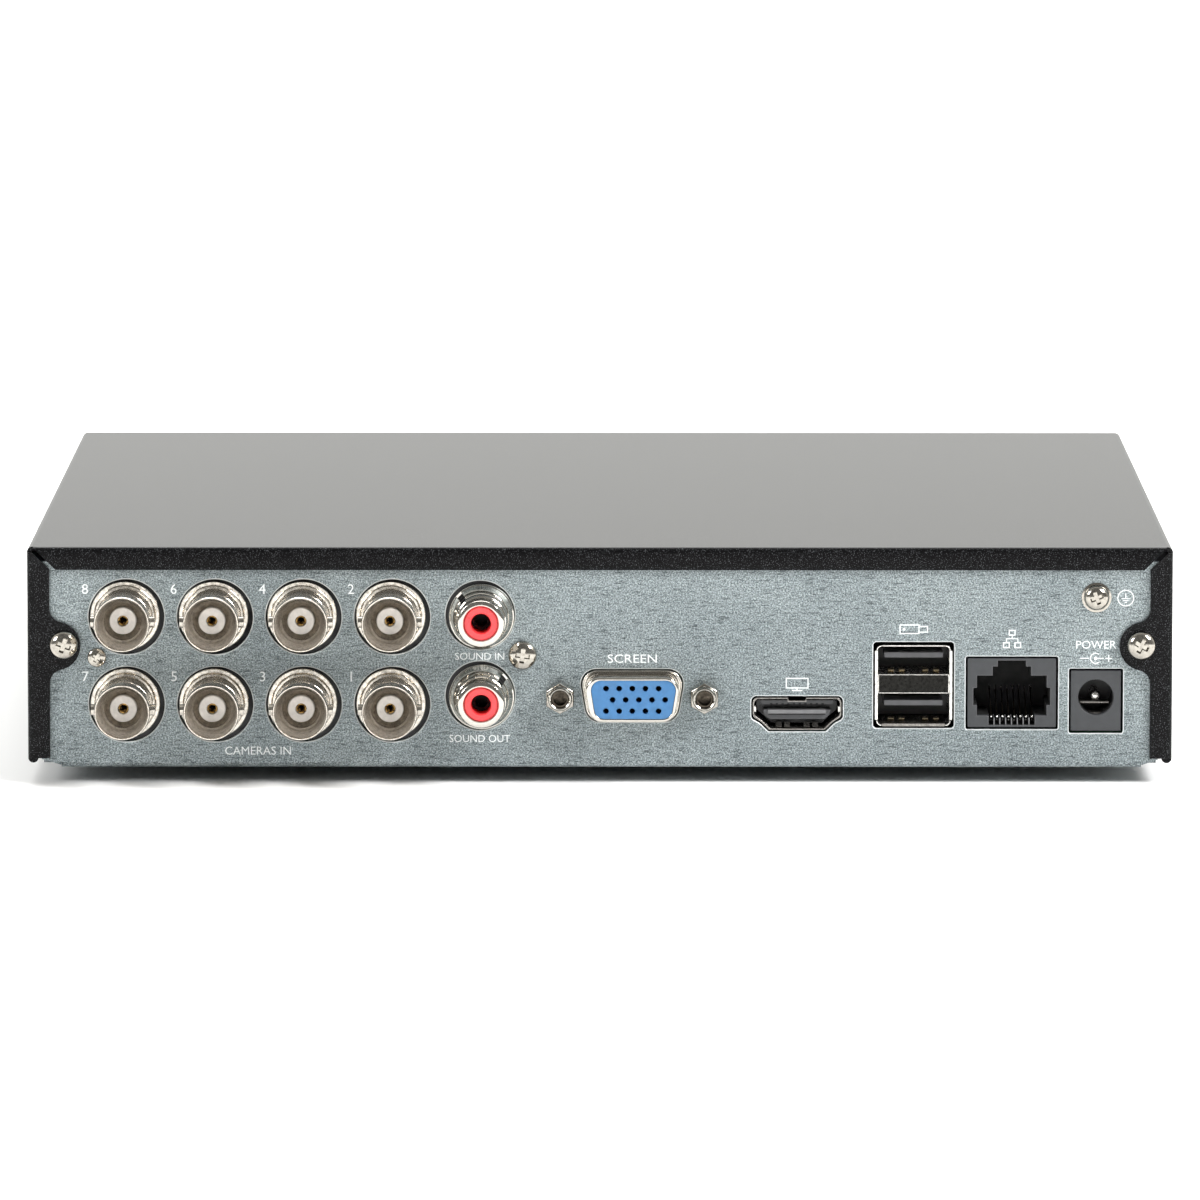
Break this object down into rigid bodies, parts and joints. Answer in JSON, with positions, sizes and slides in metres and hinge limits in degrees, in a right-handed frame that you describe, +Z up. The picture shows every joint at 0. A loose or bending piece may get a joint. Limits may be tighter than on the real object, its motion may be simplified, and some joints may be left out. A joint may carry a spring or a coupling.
{
  "type": "video recorder",
  "caption": "Compact surveillance video recorder: flat folded-steel case with a rear panel of coaxial video, audio, display, USB, network and power sockets.",
  "frame": {"origin": "on the resting plane under the feet, below the middle of the whole object", "axes": "+X to the right when facing the connector panel, +Y from the connector panel to the front bezel, +Z up"},
  "size_m": [0.2, 0.2036, 0.0416],
  "materials": {
    "galvanised_sheet": "zinc-coated folded steel sheet with a fine mottled grain",
    "black_coat": "fine-textured black powder coat on steel",
    "black_plastic": "satin black moulding",
    "clear_plastic": "clear light guide",
    "circuit_board": "green solder mask",
    "bright_screw": "nickel-plated steel",
    "nickel_plate": "bright nickel plating with light machining marks",
    "black_moulding": "black glass-filled moulding",
    "white_moulding": "off-white insulator",
    "red_moulding": "red insulator",
    "blue_moulding": "light blue insulator",
    "foot_rubber": "black stick-on foot",
    "heat_sink_aluminium": "extruded and anodised",
    "cell_steel": "stamped steel",
    "cast_aluminium": "die-cast and machined",
    "disc_mirror": "polished to a mirror",
    "data_lead_jacket": "flat red lead",
    "power_lead_jacket": "flat black lead"
  },
  "bodies": {
    "chassis": {"chassis_tray": "galvanised_sheet", "front_bezel": "black_plastic", "indicator_light_pipe": "clear_plastic", "indicator_board": "circuit_board", "ground_screw": "bright_screw", "audio_block_screw": "bright_screw", "video_block_screw": "bright_screw", "foot_rear_left": "foot_rubber", "foot_rear_right": "foot_rubber", "foot_front_left": "foot_rubber", "foot_front_right": "foot_rubber", "video_socket_housing": "black_moulding", "video_socket_shell_1": "nickel_plate", "video_socket_insulator_1": "white_moulding", "video_socket_shell_2": "nickel_plate", "video_socket_insulator_2": "white_moulding", "video_socket_shell_3": "nickel_plate", "video_socket_insulator_3": "white_moulding", "video_socket_shell_4": "nickel_plate", "video_socket_insulator_4": "white_moulding", "video_socket_shell_5": "nickel_plate", "video_socket_insulator_5": "white_moulding", "video_socket_shell_6": "nickel_plate", "video_socket_insulator_6": "white_moulding", "video_socket_shell_7": "nickel_plate", "video_socket_insulator_7": "white_moulding", "video_socket_shell_8": "nickel_plate", "video_socket_insulator_8": "white_moulding", "audio_socket_housing": "black_moulding", "audio_in_shell": "nickel_plate", "audio_out_shell": "nickel_plate", "audio_in_insert": "red_moulding", "audio_out_insert": "red_moulding", "vga_socket_shell": "nickel_plate", "vga_socket_insert": "blue_moulding", "vga_jackscrew_left": "nickel_plate", "vga_jackscrew_right": "nickel_plate", "digital_video_shell": "nickel_plate", "digital_video_tongue": "black_moulding", "usb_socket_shell": "nickel_plate", "usb_socket_insulator": "black_moulding", "lan_socket_housing": "black_moulding", "power_socket_housing": "black_moulding", "power_socket_pin": "nickel_plate", "main_board": "circuit_board", "heat_sink": "heat_sink_aluminium", "clock_battery": "cell_steel", "hdd_base": "cast_aluminium", "hdd_lid": "cell_steel", "hdd_circuit_board": "circuit_board", "hdd_magnet_yoke": "nickel_plate", "drive_data_lead": "data_lead_jacket", "drive_power_lead": "power_lead_jacket"},
    "cover": {"top_cover": "black_coat", "cover_screw_left": "bright_screw", "cover_screw_right": "bright_screw"},
    "platter": {"hdd_platter": "disc_mirror", "hdd_spindle_hub": "cast_aluminium"},
    "actuator": {"hdd_actuator_arm": "cast_aluminium"}
  },
  "joints": [
    {"name": "cover_slide", "type": "slide", "parent": "chassis", "child": "cover", "axis": [0, -1, 0], "range_m": [0, 0.205]},
    {"name": "platter_spin", "type": "hinge", "parent": "chassis", "child": "platter", "pos_m": [0.034, 0.038, 0.0196], "axis": [0, 0, 1], "continuous": true},
    {"name": "arm_swing", "type": "hinge", "parent": "chassis", "child": "actuator", "pos_m": [-0.022, 0.022, 0.0196], "axis": [0, 0, 1], "range_deg": [-35, 0]}
  ]
}
